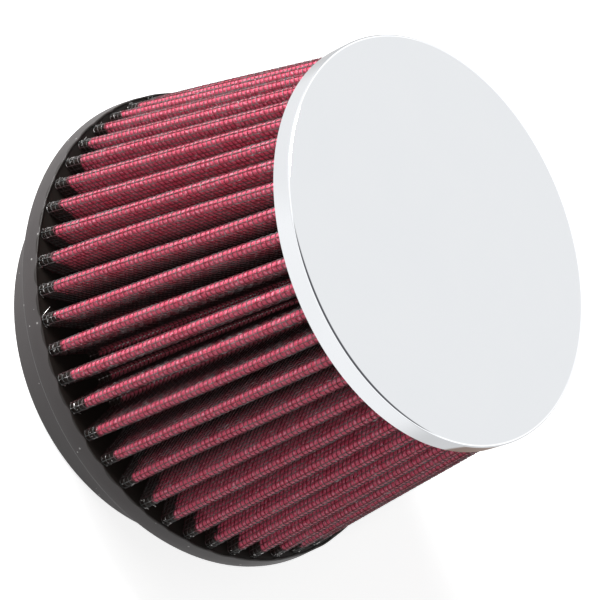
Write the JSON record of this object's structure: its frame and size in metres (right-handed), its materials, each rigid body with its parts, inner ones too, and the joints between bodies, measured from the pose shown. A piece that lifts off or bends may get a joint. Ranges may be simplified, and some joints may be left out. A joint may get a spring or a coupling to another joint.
{
  "type": "cone air filter",
  "caption": "Tapered clamp-on engine air filter: pleated red cotton gauze between wire screens, a moulded rubber neck and a chromed cap.",
  "frame": {"origin": "centre of the neck's mouth, on the plane that the filter stands on", "axes": "+Z along the filter's axis, from the neck's mouth up to the cap; a pleat's crest lies on +X"},
  "size_m": [0.1524, 0.1524, 0.1185],
  "materials": {
    "moulded_rubber": "moulded, satin",
    "wire_screen": "coated woven wire",
    "cotton_gauze": "oiled, matt",
    "potting": "cast, matt",
    "chrome": "polished"
  },
  "bodies": {
    "root": {"base_flange": "moulded_rubber", "outer_screen": "wire_screen", "gauze_media": "cotton_gauze", "inner_screen": "wire_screen", "end_potting": "potting", "end_cap": "chrome"}
  },
  "joints": []
}
